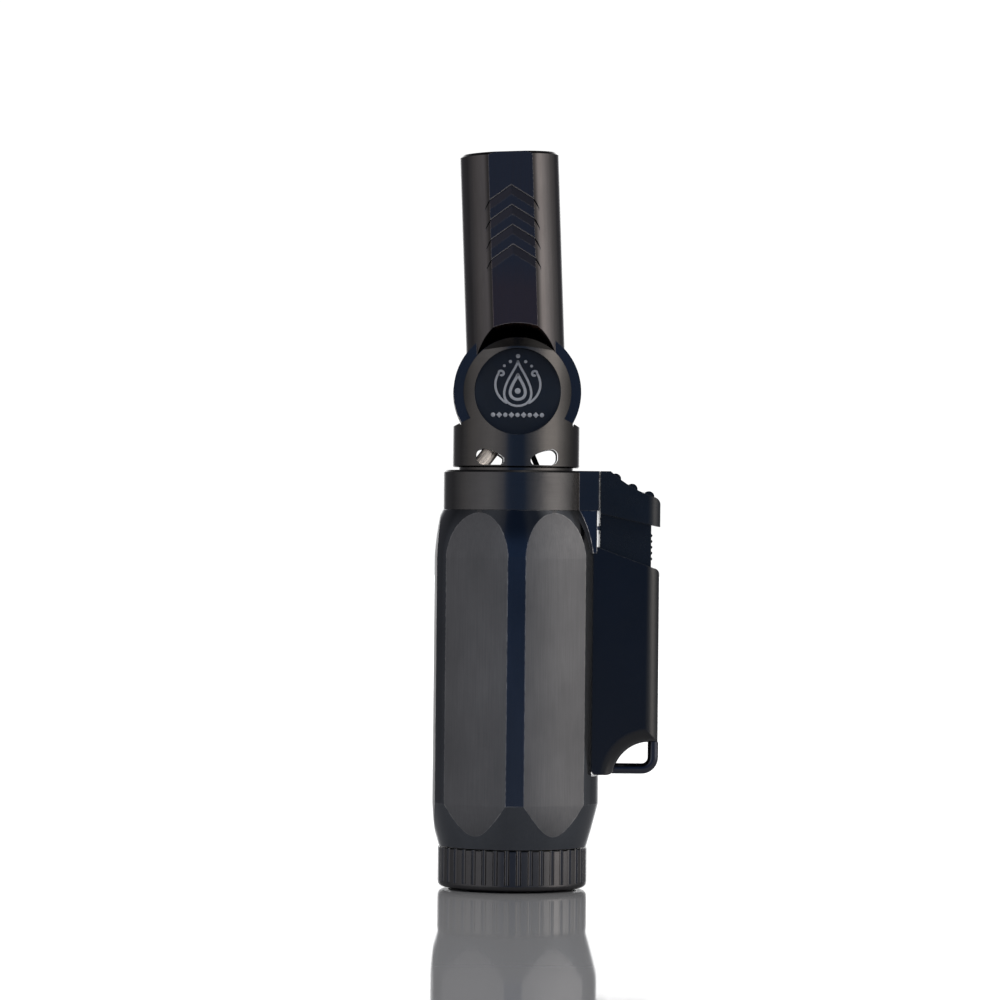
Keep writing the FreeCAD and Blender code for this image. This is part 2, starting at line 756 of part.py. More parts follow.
def barrel():
    """Burner barrel with a flat front panel, in one casting with the round knuckle that the yoke holds."""
    body = new_body()
    revolve(body, [
        (0, 0),
        ("barrel_radius", 0),
        ("barrel_radius", "barrel_length - barrel_lip"),
        ("barrel_radius - barrel_lip", "barrel_length"),
        (0, "barrel_length"),
    ])
    panel = rectangle(("-barrel_radius", -1), ("barrel_radius", "barrel_length + 1"))
    extrude(body, "XZ_Plane", panel, 2, "Pocket", "barrel_panel + 1")
    knuckle = lambda sketch: circle(sketch, 0, 0, "knuckle_radius")
    extrude(body, "XZ_Plane", knuckle, "2 * knuckle_half_width")
    extrude(body, "XZ_Plane", knuckle_hollow, "2 * hollow_half_width", "Pocket")
    revolve(body, [
        (0, 9),
        ("holder_radius + 0.05", 9),
        ("holder_radius + 0.05", "barrel_bore_floor"),
        ("barrel_bore", "barrel_bore_floor"),
        ("barrel_bore", "barrel_length + 1"),
        (0, "barrel_length + 1"),
    ], "Groove")
    recess = "knuckle_half_width - washer_recess_floor + 0.5"
    tools = [
        scoop(-1),
        scoop(1),
        cylinder("pivot_radius + running_gap", 12, (0, -6, 0), "Y"),
        cylinder("washer_recess_radius", recess, (0, "washer_recess_floor", 0), "Y"),
        cylinder("washer_recess_radius", recess, (0, f"-washer_recess_floor - ({recess})", 0), "Y"),
        cylinder("lead_radius + 0.45", 8, ("electrode_offset", 0, 7.5)),
        cylinder("screw_hole", 6, (0, "tube_radius", "set_screw_height"), "Y"),
    ]
    for step in range(DIMS["chevron_count"]):
        apex = amount("chevron_apex") - step * amount("chevron_pitch")
        tools += [chevron_arm(apex, side) for side in (-1, 1)]
    return cut(body, *tools)


def flame_holder():
    """Stainless disc with the main flame port, a ring of pilot ports and the electrode's hole."""
    thick = "flame_holder_high - flame_holder_low"
    disc = cylinder("sleeve_bore - 0.05", thick, (0, 0, "flame_holder_low"))
    holes = [cylinder("flame_port", 4, (0, 0, 35)), cylinder(0.8, 4, ("electrode_offset", 0, 35))]
    for index in range(DIMS["pilot_count"]):
        turn = f"{index} * 360 / pilot_count"
        spot = (f"pilot_circle * cos({turn})", f"pilot_circle * sin({turn})", 35)
        holes.append(cylinder("pilot_port", 4, spot))
    return cut(disc, *holes)


def insulator():
    """Ceramic sleeve round the electrode."""
    spot = "electrode_offset"
    sleeve = cylinder("insulator_radius", 18, (spot, 0, 16))
    tip = cone("insulator_radius", 0.75, 1.5, (spot, 0, 34))
    return cut(fuse(sleeve, tip), cylinder("electrode_radius + 0.03", 21, (spot, 0, 15.5)))


def build_head():
    """Everything that tilts with the barrel."""
    node("burner_barrel", barrel(), in_head=True)
    node("jet_holder", turned([
        (0.5, 8.6), (1.0, 8.6), (1.0, 10.6), ("holder_radius", 10.6),
        ("holder_radius", "barrel_bore_floor"), (4.0, "barrel_bore_floor"), (4.0, 15.5), (2.6, 15.5),
        (2.6, 18.2), (1.65, 18.2), (1.65, 12.4), (0.5, 12.4),
    ]), in_head=True)
    node("jet_filter", group(cylinder(1.6, 1.2, (0, 0, 12.6))), in_head=True)
    node("jet_nozzle", turned([
        (0.15, 14.6), (1.6, 14.6), (1.6, 18.3), (2.2, 18.3), (1.1, 20.4), (0.15, 20.4),
    ]), in_head=True)
    air_holes = [cylinder(1.1, 10, (-5, 0, 22.5), "X"), cylinder(1.1, 10, (0, -5, 22.5), "Y")]
    node("mixing_tube", cut(turned([
        (2.65, 15.55), ("tube_radius", 15.55), ("tube_radius", 36), (3.3, 36), (2.7, 27), (3.3, 21),
        (2.65, 18.5),
    ]), *air_holes), in_head=True)
    node("flame_holder", flame_holder(), in_head=True)
    node("burner_sleeve", turned([
        ("sleeve_bore", 30), ("sleeve_radius", 30), ("sleeve_radius", "barrel_length - 0.9"),
        ("sleeve_bore + 0.3", "barrel_length - 0.9"), ("sleeve_bore", "barrel_length - 1.3"),
    ]), in_head=True)
    node("electrode_insulator", insulator(), in_head=True)
    spot = "electrode_offset"
    node("electrode", run([(spot, 0, 15.9), (spot, 0, 39.2), (3.4, 0, 41.8)], "electrode_radius", 1.4),
         in_head=True)
    node("lead_tail", run([(0, "lead_lane", 1.0), (0, "lead_lane", 3.0), (spot, 0, 8.2), (spot, 0, 15.8)],
                          "lead_radius", 2), in_head=True)
    tail_route = [(0, "hose_lane", 1.3), (0, "hose_lane", 3.2), (0, 0, 6.2), (0, 0, 10.4)]
    tail = run(tail_route, "hose_tail_radius", 5)
    node("hose_tail", cut(tail, cylinder(1.02, 6, (0, 0, 8.55))), in_head=True)
    socket = cylinder(0.45, 1.2, (0, 8.0, "set_screw_height"), "Y")
    screw_foot = (0, "tube_radius + 0.1", "set_screw_height")
    screw = cylinder("screw_radius", "8.9 - tube_radius - 0.1", screw_foot, "Y")
    node("barrel_set_screw", cut(screw, socket), in_head=True)


# ---- hose and lead below the pivot -----------------------------------------------------------------

def build_lines():
    """Gas hose from the valve block and ignition lead from the piezo, both up to the pivot."""
    lane = "hose_lane"
    node("gas_hose", cut(run([
        ("barb_offset", lane, 64.2), ("barb_offset", lane, 67.2), (-5.8, lane, 70.8), (-7.35, lane, 77.2),
        (-0.6, lane, 85.85), (0, lane, 90.2),
    ], "hose_radius", 4), cylinder(0.52, 4, ("barb_offset", lane, 62))))
    node("ignition_lead", run([
        (16.5, 3.0, 29.4), (15.6, 3.6, 29.6), (15.2, "lead_side", 32.0), (13.75, "lead_side", 36.5),
        (13.65, "lead_side", 46), (13.65, "lead_side", 57.0), (11.0, "lead_side", 60.6), (8.2, 4.1, 64.2),
        (6.2, 3.7, 68.0), (5.5, 3.4, 72.0), (4.4, 3.1, 77.0), (3.1, 2.8, 80.0), (1.0, 2.3, 85.2),
        (0, "lead_lane", 88.2), (0, "lead_lane", 90.5),
    ], "lead_radius", 8))


# ---- trigger, piezo and housing --------------------------------------------------------------------

def trigger():
    """Thumb trigger: a sloping cap with grip nubs on a ribbed stem that runs in the housing."""
    body = new_body()
    cap = [
        ("trigger_face", 69.3),
        ("trigger_face", "collar_top"),
        (17.3, "collar_top", 21),
        ("trigger_reach - 1.3", 72.45, -1.7),
        ("trigger_reach", 71.1),
        ("trigger_reach", 66.9),
    ]
    extrude(body, "XZ_Plane", lambda sketch: outline(sketch, cap), "2 * trigger_half_width")
    round_corners(body, "trigger_reach", "trigger_half_width", "trigger_round")
    stem = [
        ("trigger_face + 0.05", "stem_foot"),
        ("stem_reach", "stem_foot"),
        ("stem_reach", 68),
        (15.5, 70),
    ]
    extrude(body, "XZ_Plane", lambda sketch: outline(sketch, stem), "2 * stem_half_width")
    notch = rectangle((15, "lever_height - 1.2"), (18.7, "lever_height + 0.9"))
    extrude(body, "XZ_Plane", notch, 4.4, "Pocket")
    well = rectangle(("piezo_x - 2.8", "stem_foot - 1"), ("piezo_x + 2.8", 62))
    extrude(body, "XZ_Plane", well, 5.6, "Pocket")
    nub = "2 * (trigger_half_width - 1.4)"
    parts = [body]
    for x, level in ((18.25, 75.7), (21.3, 73.85), (24.4, 72.5)):
        parts.append(cylinder("nub_radius", nub, (x, "-trigger_half_width + 1.4", level), "Y"))
    for index in range(DIMS["rib_count"]):
        spot = ("stem_reach - 0.05", "0.5 - stem_half_width", f"rib_low + {index} * rib_pitch")
        parts.append(cylinder("rib_radius", "2 * stem_half_width - 1", spot, "Y"))
    return fuse(*parts)


def piezo_case():
    """Square case of the piezo unit, open at the top for its plunger."""
    side = "(plunger_half + 0.08)"
    outer = block(("piezo_x - piezo_half", "-piezo_half", "piezo_foot"),
                  ("piezo_x + piezo_half", "piezo_half", "piezo_top"))
    inner = block((f"piezo_x - {side}", f"-{side}", "piezo_foot + 3"),
                  (f"piezo_x + {side}", side, "piezo_top + 1"))
    return cut(outer, inner)


def housing():
    """Cover round the piezo and the trigger's stem, with a slanted mouth and an arched foot."""
    body = new_body()
    profile = [
        ("spine_face + 0.03", 63.2),
        ("housing_reach - 1.1", 59.35, -1.25),
        ("housing_reach", 58.1),
        ("housing_reach", "housing_arch_z + housing_arch"),
        ("housing_arch_x", "housing_arch_z + housing_arch", "housing_arch"),
        ("housing_arch_x - housing_arch * cos(12)", "housing_arch_z + housing_arch * sin(12)", -1.9),
        (16.9, "housing_foot"),
        ("seat_face + 0.82", "housing_foot", -0.8),
        ("seat_face + 0.02", "housing_foot + 0.8"),
        ("seat_face + 0.02", "seat_high - 0.03"),
        ("spine_face + 0.03", "seat_high - 0.03"),
    ]
    extrude(body, "XZ_Plane", lambda sketch: outline(sketch, profile), "2 * housing_half_width")
    round_corners(body, "housing_reach", "housing_half_width", "housing_round")
    hollow = rectangle((13, "housing_floor"), ("housing_reach - housing_wall", 70))
    extrude(body, "XZ_Plane", hollow, "2 * (housing_half_width - housing_wall)", "Pocket")
    tools = [
        cylinder("loop_pin_radius + 0.03", 1.6, ("loop_reach", 0, "housing_arch_z + housing_arch - 0.3")),
        cylinder("loop_pin_radius + 0.03", 3.6, (15.6, 0, "loop_height"), "X"),
    ]
    for side in (-1, 1):
        tools.append(cylinder("screw_hole", 6, (13.5, f"{side} * 3", 25.2), "X"))
        start = "housing_half_width - housing_round"
        low = f"{start}" if side > 0 else "-housing_half_width - 1"
        swept = cylinder("housing_arch + housing_round", "housing_round + 1",
                         ("housing_arch_x", low, "housing_arch_z"), "Y")
        edge = ring("housing_arch + housing_round", "housing_round",
                    ("housing_arch_x", f"{side} * ({start})", "housing_arch_z"), "Y")
        tools.append(cut(swept, edge))
    return cut(body, *tools)


def loop():
    """Bent wire loop for a lanyard, pinned into the housing's foot at both ends."""
    wire = run([("loop_reach", 0, 28.5), ("loop_reach", 0, "loop_height"), (17, 0, "loop_height")],
               "loop_wire_radius", 2.1)
    arch = cylinder("housing_arch - 0.03", 4, ("housing_arch_x", -2, "housing_arch_z"), "Y")
    trimmed = doc.addObject("Part::Common", "trimmed")
    trimmed.Base = wire
    trimmed.Tool = arch
    return fuse(
        trimmed,
        cylinder("loop_pin_radius", 2, ("loop_reach", 0, 26.6)),
        cylinder("loop_pin_radius", 4.2, (15.8, 0, "loop_height"), "X"),
    )


def build_trigger_side():
    """Housing, loop, piezo unit and trigger."""
    node("housing_cover", housing())
    node("lanyard_loop", loop())
    screws = []
    for side in (-1, 1):
        screws.append(cut(
            fuse(cylinder(1.8, 1.2, (12.22, f"{side} * 3", 25.2), "X"),
                 cylinder("screw_radius", 6, (13.3, f"{side} * 3", 25.2), "X")),
            cylinder(0.6, 0.8, (12.0, f"{side} * 3", 25.2), "X"),
        ))
    node("housing_screws", group(*screws))
    node("piezo_case", piezo_case())
    node("piezo_terminal", block(("piezo_x - 3.4", -3.4, 28.75), ("piezo_x + 3.4", 3.4, "piezo_foot")))
    node("piezo_plunger", block(("piezo_x - plunger_half", "-plunger_half", "plunger_foot"),
                                ("piezo_x + plunger_half", "plunger_half", 61.97)))
    spring_foot = ("piezo_x", 0, "piezo_foot + 3.02")
    node("piezo_spring", coil(1.8, 0.25, 6, "plunger_foot - piezo_foot - 3.04", spring_foot))
    node("trigger_button", trigger())


# ---- foot: base plate, adjuster ring, spindle ------------------------------------------------------

def tooth(sketch, root, tip):
    """A gear tooth on the X axis, tapered from root to tip."""
    outline(sketch, [
        (root, "-tooth_root_half"),
        (tip, "-tooth_tip_half"),
        (tip, "tooth_tip_half"),
        (root, "tooth_root_half"),
    ])


def adjuster_ring():
    """Fluted ring with teeth inside, held between the base plate's flange and the casing."""
    body = new_body()
    revolve(body, [
        ("ring_recess_radius", "ring_foot"),
        ("ring_radius - ring_edge", "ring_foot", "ring_edge"),
        ("ring_radius", "ring_foot + ring_edge"),
        ("ring_radius", "ring_top - 0.2"),
        ("ring_radius - 0.2", "ring_top"),
        ("ring_root_radius", "ring_top"),
        ("ring_root_radius", "ring_lip_high"),
        ("ring_lip_radius", "ring_lip_high"),
        ("ring_lip_radius", "ring_lip_low"),
        ("ring_recess_radius", "ring_lip_low"),
    ])
    groove = lambda sketch: circle(sketch, "ring_radius + 0.12", 0, "flute_radius")
    flute = extrude(body, "XY_Plane", groove, 6.8, "Pocket", 4.8)
    repeat(body, flute, "flute_count")
    gear_middle = "(gear_low + gear_high) / 2"
    profile = lambda sketch: tooth(sketch, "ring_root_radius + 0.2", "ring_tip_radius")
    first = extrude(body, "XY_Plane", profile, "gear_high - gear_low", "Pad", gear_middle)
    repeat(body, first, "ring_teeth")
    turned_ring = doc.addObject("Part::Compound", "turned_ring")
    turned_ring.Links = [body]
    bind(turned_ring, "Placement.Rotation.Angle", "180 / ring_teeth")
    return turned_ring


def pinion():
    """Small gear on the spindle's foot, in mesh with the ring."""
    body = new_body()
    middle, thick = "(gear_low + gear_high) / 2", "gear_high - gear_low - 0.4"
    hub = lambda sketch: circle(sketch, 0, 0, "pinion_root_radius")
    profile = lambda sketch: tooth(sketch, "pinion_root_radius - 0.2", "pinion_tip_radius")
    hole = lambda sketch: circle(sketch, 0, 0, "spindle_radius")
    extrude(body, "XY_Plane", hub, thick, "Pad", middle)
    first = extrude(body, "XY_Plane", profile, thick, "Pad", middle)
    repeat(body, first, "pinion_teeth")
    body.Tip = extrude(body, "XY_Plane", hole, 8, "Pocket", middle)
    return place(body, ("-spindle_offset", 0, 0))


def countersunk_screw(x, y, low, length):
    """Countersunk screw with a round socket, head down."""
    head = cone(1.85, "screw_radius", 0.9, (x, y, low))
    shank = cylinder("screw_radius", length, (x, y, low))
    return cut(fuse(head, shank), cylinder(0.55, 0.6, (x, y, f"{low} - 0.01")))


def base_plate():
    """Flat foot that the torch stands on, with the filling port and two bosses up to the tank."""
    body = turned([
        (0, 0),
        ("plate_flange_radius - 0.4", 0),
        ("plate_flange_radius", 0.4),
        ("plate_flange_radius", "plate_flange"),
        ("plate_hub_radius", "plate_flange"),
        ("plate_hub_radius", "plate_top"),
        (0, "plate_top"),
    ])
    bosses, tools = [], [cylinder(3.3, 6, ("fill_offset", 0, -1)),
                         cylinder("spindle_radius + running_gap", 3, ("-spindle_offset", 0, 1.5))]
    for side in (-1, 1):
        spot = f"{side} * base_screw_offset"
        bosses.append(cylinder("boss_radius", "tank_foot - plate_top", (0, spot, "plate_top")))
        tools.append(cylinder("screw_hole", 10, (0, spot, -1)))
        tools.append(cone(2.1, "screw_hole", 1.1, (0, spot, 0)))
    return cut(fuse(body, *bosses), *tools)


def spindle():
    """Flow spindle: foot in the base plate, needle in the valve block."""
    x = "-spindle_offset"
    return fuse(
        cylinder("spindle_radius", 57.8, (x, 0, 1.7)),
        cone("spindle_radius", 0.15, 1.6, (x, 0, 59.5)),
    )


def build_foot():
    """Base plate, adjuster ring and spindle."""
    node("base_plate", base_plate())
    screws = [countersunk_screw(0, f"{side} * base_screw_offset", 0.12, 13) for side in (-1, 1)]
    node("base_screws", group(*screws))
    node("flame_adjuster_ring", adjuster_ring())
    node("adjuster_pinion", pinion())
    node("adjuster_spindle", spindle())


# ---- tank and valves -------------------------------------------------------------------------------

def tank():
    """Fuel tank: a cup with a channel for the spindle and two screw bosses inside."""
    outer = cylinder("tank_radius", "tank_top - tank_foot", (0, 0, "tank_foot"))
    inner = cylinder("tank_radius - tank_wall", "tank_top - tank_foot", (0, 0, "tank_foot + tank_floor"))
    rib = doc.addObject("Part::Common", "rib")
    rib.Base = cylinder("tank_radius", "tank_top - tank_foot - 1.8", (0, 0, "tank_foot"))
    rib.Tool = block((-13, -2.5, "tank_foot"), (-6.8, 2.5, "tank_top - 1.8"))
    parts = [cut(outer, inner), rib]
    tools = [cylinder(2.55, 4, ("fill_offset", 0, "tank_foot - 1"))] + spindle_channel()
    for side in (-1, 1):
        spot = f"{side} * base_screw_offset"
        parts.append(cylinder("boss_radius", 6, (0, spot, "tank_foot + tank_floor")))
        tools.append(cylinder("screw_hole", 6.5, (0, spot, "tank_foot - 0.5")))
    return cut(fuse(*parts), *tools)


def spindle_channel():
    """Clear space for the spindle down the side of the tank and its lid."""
    return [
        cylinder(1.35, 60, ("-spindle_offset", 0, 5)),
        block((-14, -1.35, 5), ("-spindle_offset", 1.35, "casing_ledge + 0.01")),
    ]


def tank_lid():
    """Lid welded on the tank, with a plug, a valve port and two pillars for the collar's screws."""
    body = turned([
        (0, "tank_top - 1.6"), ("tank_radius - tank_wall - 0.05", "tank_top - 1.6"),
        ("tank_radius - tank_wall - 0.05", "tank_top"), ("tank_radius", "tank_top"),
        ("tank_radius", "casing_ledge - 0.02"), (0, "casing_ledge - 0.02"),
    ])
    pillars, tools = [], [cylinder(1.2, 8, ("valve_offset", 0, 52))] + spindle_channel()
    for side in (-1, 1):
        spot = f"{side} * collar_screw_offset"
        pillars.append(cylinder(1.5, "casing_top - casing_ledge", (0, spot, "casing_ledge - 0.02")))
        tools.append(cylinder("screw_hole", 8, (0, spot, 63)))
    seal_foot = (0, 0, "tank_top - 1.2")
    seal_groove = cut(cylinder(12, 0.8, seal_foot), cylinder(10.2, 0.8, seal_foot))
    relief = block((-13, -2.6, "tank_top - 2"), (-6.7, 2.6, "tank_top"))
    return cut(fuse(body, *pillars), seal_groove, relief, *tools)


def valve_block():
    """Block on the lid: outlet valve bore, needle seat, hose barb and the lever's posts."""
    base = block((-11, -3.2, "casing_ledge"), (1.6, 3.2, "block_top"))
    posts = [block((-1.6, low, "block_top"), (1.6, high, 68.1)) for low, high in ((-3.2, -2.0), (2.0, 3.2))]
    barb_foot = ("barb_offset", "hose_lane", "block_top")
    barb = fuse(cylinder(0.5, 2.6, barb_foot), cone(1.5, 1.1, 1.15, barb_foot))
    tools = [
        cylinder("spindle_radius + 0.08", 3.6, ("-spindle_offset", 0, "casing_ledge - 0.5")),
        cylinder(1.62, 0.6, ("-spindle_offset", 0, 58.7)),
        cylinder(0.35, 6.5, ("-spindle_offset", 0, 61.0), "X"),
        cylinder(1.6, 6, ("valve_offset", 0, "casing_ledge - 0.5")),
        cylinder("lever_pin_radius + 0.02", 8, (0, -4, "lever_height"), "Y"),
    ]
    return cut(fuse(base, barb, *posts), *tools)


def gas_lever():
    """Sheet lever: forked round the valve stem, hub on the pin, tongue in the trigger's notch."""
    half = "lever_thickness / 2"
    plate = block((-4.1, "-lever_half_width", f"lever_height - {half}"),
                  ("lever_reach", "lever_half_width", f"lever_height + {half}"))
    hub = cylinder(1.25, 3.8, (0, -1.9, "lever_height"), "Y")
    fork = block((-5, -0.75, "lever_height - 1"), (-2.2, 0.75, "lever_height + 1"))
    hole = cylinder("lever_pin_radius + 0.04", 5, (0, -2.5, "lever_height"), "Y")
    return cut(fuse(plate, hub), fork, hole)


def fill_valve():
    """Brass filling valve screwed into the tank's floor."""
    outline_points = [
        (1.06, 3.0), (2.5, 3.0), (2.5, 6.6), (3.1, 6.6), (3.1, 7.5), (2.5, 7.5), (2.5, 14),
        (0.4, 14), (0.4, 13), (1.5, 13), (1.5, 3.9), (1.06, 3.9),
    ]
    return place(turned(outline_points), ("fill_offset", 0, 0))


def build_gas_side():
    """Tank, lid, seals, filling valve, outlet valve and lever."""
    node("fuel_tank", tank())
    node("tank_lid", tank_lid())
    node("tank_seal", ring(10.48, 0.28, (0, 0, "tank_top - 0.8")))
    node("pickup_filter", cylinder(2.0, 5.3, ("valve_offset", 0, 49.1)))
    node("fill_valve_body", fill_valve())
    seal = cut(cylinder(3.1, 0.48, ("fill_offset", 0, 7.51)), cylinder(2.56, 2, ("fill_offset", 0, 7)))
    node("fill_valve_seal", seal)
    stem = turned([
        (0, 0.9), (1.0, 0.9), (1.0, 4.2), (1.4, 4.2), (1.4, 5.0), (0.5, 5.0), (0.5, 7.5), (0, 7.5),
    ])
    node("fill_valve_stem", place(stem, ("fill_offset", 0, 0)))
    node("fill_valve_spring", coil(1.1, 0.2, 6, 7.9, ("fill_offset", 0, 5.04)))
    node("valve_block", valve_block())
    node("spindle_seal", ring(1.33, 0.26, ("-spindle_offset", 0, 59)))
    cap = turned([(0.66, 62.1), (1.55, 62.1), (1.55, 63.02), (1.9, 63.02), (1.9, 63.8), (0.66, 63.8)])
    node("valve_cap", place(cap, ("valve_offset", 0, 0)))
    stem = turned([
        (0, 58.5), (1.48, 58.5), (1.48, 59.6), (0.58, 59.6),
        (0.58, 67.7), (1.35, 67.7), (1.35, 68.3), (0, 68.3),
    ])
    node("outlet_valve_stem", place(stem, ("valve_offset", 0, 0)))
    node("outlet_valve_spring", coil(1.1, 0.2, 3, 2.4, ("valve_offset", 0, 59.64)))
    node("lever_pin", cylinder("lever_pin_radius", 6.4, (0, -3.2, "lever_height"), "Y"))
    node("gas_lever", gas_lever())
    ferrule = cut(cylinder("hose_radius + 0.3", 1.7, ("barb_offset", "hose_lane", 64.6)),
                  cylinder("hose_radius + 0.01", 4, ("barb_offset", "hose_lane", 63)))
    node("hose_ferrule", ferrule)


def build_casing_side():
    """Casing, collar and the screws that clamp them on the tank."""
    node("casing", casing())
    node("neck_collar", collar())
    screws = []
    for side in (-1, 1):
        spot = f"{side} * collar_screw_offset"
        screws.append(cut(
            fuse(cone("screw_radius - 0.2", 1.5, 0.8, (0, spot, "collar_flange_top - 0.82")),
                 cylinder("screw_radius", 6.5, (0, spot, "collar_flange_top - 7.3"))),
            cylinder(0.5, 0.5, (0, spot, "collar_flange_top - 0.5")),
        ))
    node("collar_screws", group(*screws))
    body = cylinder("screw_radius", 4.0, (0, 9.1, "collar_set_screw_height"), "Y")
    node("collar_set_screw", cut(body, cylinder(0.45, 1, (0, 12.3, "collar_set_screw_height"), "Y")))


# ---- build, check and export -----------------------------------------------------------------------

build_casing_side()
build_yoke()
build_head()
build_lines()
build_trigger_side()
build_foot()
build_gas_side()
doc.recompute()

for item in doc.Objects:
    if {"Invalid", "Error"} & set(item.State):
        raise RuntimeError(f"{item.Label} failed: {item.State}")
os.makedirs("parts", exist_ok=True)
for part in NODES:
    if part.Shape.isNull() or not part.Shape.isValid() or not part.Shape.Solids:
        raise RuntimeError(f"{part.Label} has no valid solid")
for part in NODES:
    part.Shape.exportStep(f"parts/{part.Label}.step")
print(len(NODES), "sub-parts written")
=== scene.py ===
import json
import math

import bmesh
import bpy
from mathutils import Matrix, Vector


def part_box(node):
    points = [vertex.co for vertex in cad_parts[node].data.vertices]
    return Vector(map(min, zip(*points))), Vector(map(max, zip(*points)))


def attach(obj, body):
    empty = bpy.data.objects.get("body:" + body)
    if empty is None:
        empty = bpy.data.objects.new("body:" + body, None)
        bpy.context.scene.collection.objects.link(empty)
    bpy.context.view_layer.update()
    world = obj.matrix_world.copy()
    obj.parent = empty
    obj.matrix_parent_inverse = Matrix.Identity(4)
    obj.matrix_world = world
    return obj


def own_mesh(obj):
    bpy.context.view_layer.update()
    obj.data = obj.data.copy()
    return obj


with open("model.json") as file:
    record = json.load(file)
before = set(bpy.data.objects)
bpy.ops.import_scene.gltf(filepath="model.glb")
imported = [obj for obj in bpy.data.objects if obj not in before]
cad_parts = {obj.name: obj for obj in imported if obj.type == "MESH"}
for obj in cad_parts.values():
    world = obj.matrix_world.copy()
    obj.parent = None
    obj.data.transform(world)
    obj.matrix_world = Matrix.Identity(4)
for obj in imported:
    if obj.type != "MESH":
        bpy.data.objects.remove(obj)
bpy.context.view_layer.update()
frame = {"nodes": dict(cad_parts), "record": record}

MM = 0.001
nodes = frame["nodes"]
joints = frame["record"]["behaviour"]["joints"]
head_tilt = next(joint for joint in joints if joint["name"] == "head_tilt")
TILT_AXIS_HEIGHT = head_tilt["pos_m"][2] / MM
# The head tilts as far one way of upright as the other, so the middle of its range is its lean at rest.
HEAD_LEAN = math.radians(sum(head_tilt["range_deg"]) / 2)


# ---- procedural surfaces ---------------------------------------------------------------------------

class Nodes:
    """Short ways to add and join the nodes of a shader tree."""

    def __init__(self, tree):
        self.tree = tree
        self.tree.nodes.clear()

    def add(self, kind, **settings):
        made = self.tree.nodes.new(kind)
        for key, value in settings.items():
            setattr(made, key, value)
        return made

    def join(self, start, end):
        self.tree.links.new(start, end)

    def feed(self, socket, value):
        if isinstance(value, bpy.types.NodeSocket):
            self.join(value, socket)
        else:
            socket.default_value = value

    def math(self, operation, *values, clamp=False):
        made = self.add("ShaderNodeMath", operation=operation, use_clamp=clamp)
        for socket, value in zip(made.inputs, values):
            self.feed(socket, value)
        return made.outputs[0]

    def span(self, value, low, high, out_low=0.0, out_high=1.0, curve="LINEAR"):
        made = self.add("ShaderNodeMapRange", interpolation_type=curve)
        limits = {"From Min": low, "From Max": high, "To Min": out_low, "To Max": out_high}
        for name, number in limits.items():
            made.inputs[name].default_value = number
        self.join(value, made.inputs["Value"])
        return made.outputs["Result"]


class Graph(Nodes):
    """The nodes of one material. Lengths inside the graph are millimetres."""

    def __init__(self, name):
        self.material = bpy.data.materials.new(name)
        self.material.use_nodes = True
        super().__init__(self.material.node_tree)
        self.shader = self.add("ShaderNodeBsdfPrincipled")
        self.join(self.shader.outputs["BSDF"], self.add("ShaderNodeOutputMaterial").inputs["Surface"])
        self.coords = self.add("ShaderNodeTexCoord").outputs["Object"]

    def stretched(self, scale):
        made = self.add("ShaderNodeMapping")
        made.inputs["Scale"].default_value = [1000 * part for part in scale]
        self.join(self.coords, made.inputs["Vector"])
        return made.outputs["Vector"]

    def noise(self, scale, detail=3.0, rough=0.5, distortion=0.0):
        made = self.add("ShaderNodeTexNoise")
        self.join(self.stretched(scale), made.inputs["Vector"])
        made.inputs["Scale"].default_value = 1.0
        made.inputs["Detail"].default_value = detail
        made.inputs["Roughness"].default_value = rough
        made.inputs["Distortion"].default_value = distortion
        return made.outputs["Fac"]

    def place(self):
        """Separate X, Y and Z of a point, in millimetres."""
        split = self.add("ShaderNodeSeparateXYZ")
        self.join(self.stretched((1.0, 1.0, 1.0)), split.inputs[0])
        return split.outputs

    def cells(self, scale):
        made = self.add("ShaderNodeTexVoronoi")
        self.join(self.stretched(scale), made.inputs["Vector"])
        made.inputs["Scale"].default_value = 1.0
        return made.outputs["Distance"]

    def blend(self, factor, first, second):
        made = self.add("ShaderNodeMix", data_type="RGBA")
        self.feed(made.inputs["Factor"], factor)
        for socket, value in ((made.inputs["A"], first), (made.inputs["B"], second)):
            colour = value if isinstance(value, bpy.types.NodeSocket) else (*value, 1.0)
            self.feed(socket, colour)
        return made.outputs["Result"]

    def rounded(self, radius, flat=0.985, turned=0.86):
        """Normals rounded over sharp edges, and a mask of those edges."""
        soft = self.add("ShaderNodeBevel", samples=4)
        soft.inputs["Radius"].default_value = radius * MM
        plain = self.add("ShaderNodeNewGeometry").outputs["Normal"]
        dot = self.add("ShaderNodeVectorMath", operation="DOT_PRODUCT")
        self.join(soft.outputs["Normal"], dot.inputs[0])
        self.join(plain, dot.inputs[1])
        return soft.outputs["Normal"], self.span(dot.outputs["Value"], flat, turned)

    def bump(self, height, distance, strength=1.0, normal=None):
        made = self.add("ShaderNodeBump")
        made.inputs["Strength"].default_value = strength
        made.inputs["Distance"].default_value = distance * MM
        self.join(height, made.inputs["Height"])
        if normal is not None:
            self.join(normal, made.inputs["Normal"])
        return made.outputs["Normal"]


def shade(colour, factor):
    return tuple(min(1.0, part * factor) for part in colour)


